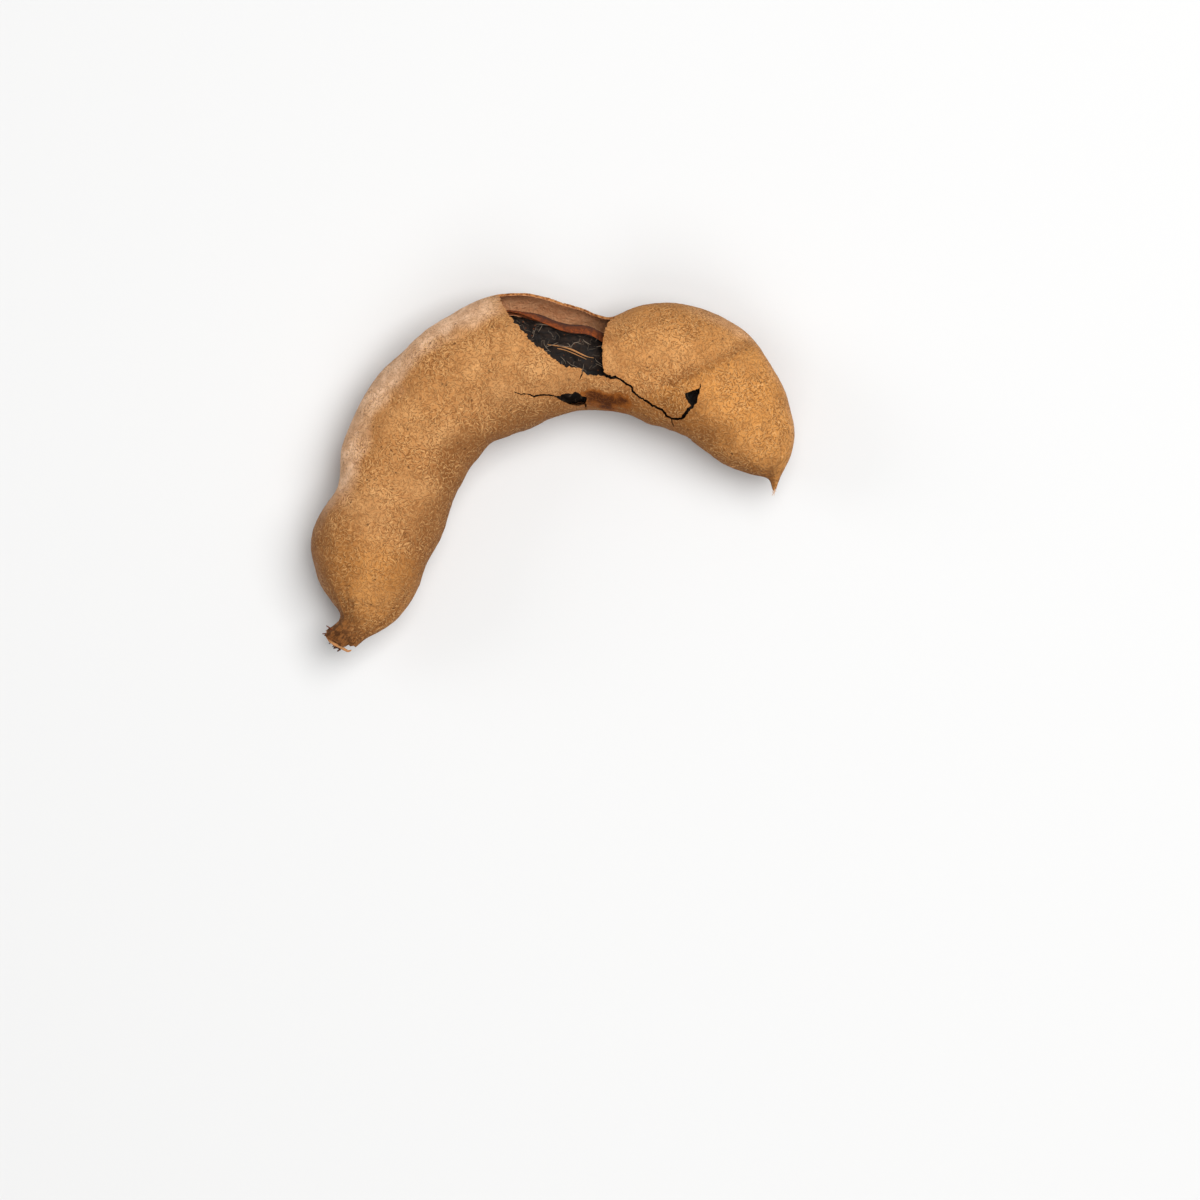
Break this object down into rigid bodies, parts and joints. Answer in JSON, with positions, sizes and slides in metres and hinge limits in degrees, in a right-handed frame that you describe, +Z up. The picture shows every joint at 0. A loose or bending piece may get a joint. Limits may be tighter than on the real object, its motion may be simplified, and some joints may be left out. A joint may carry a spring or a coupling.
{
  "type": "tamarind pod",
  "caption": "Curved, lobed tamarind pod with a brittle felted shell, broken open on top to show the dark pulp and fibre strands inside.",
  "frame": {"origin": "under the middle of the pod's box, on the surface the pod rests on", "axes": "+Z up from that surface, +X across the arch from the stalk end's side to the beak's side, +Y towards the crown of the arch"},
  "size_m": [0.099, 0.0734, 0.0213],
  "materials": {
    "shell": "dry felted matte skin, orange-brown to grey-tan, with small dark pits",
    "pulp": "wrinkled, near black, slightly sticky sheen",
    "strands": "dry woody fibre, semi-matte"
  },
  "bodies": {
    "root": {"shell": "shell", "pulp": "pulp", "strands": "strands"}
  },
  "joints": []
}
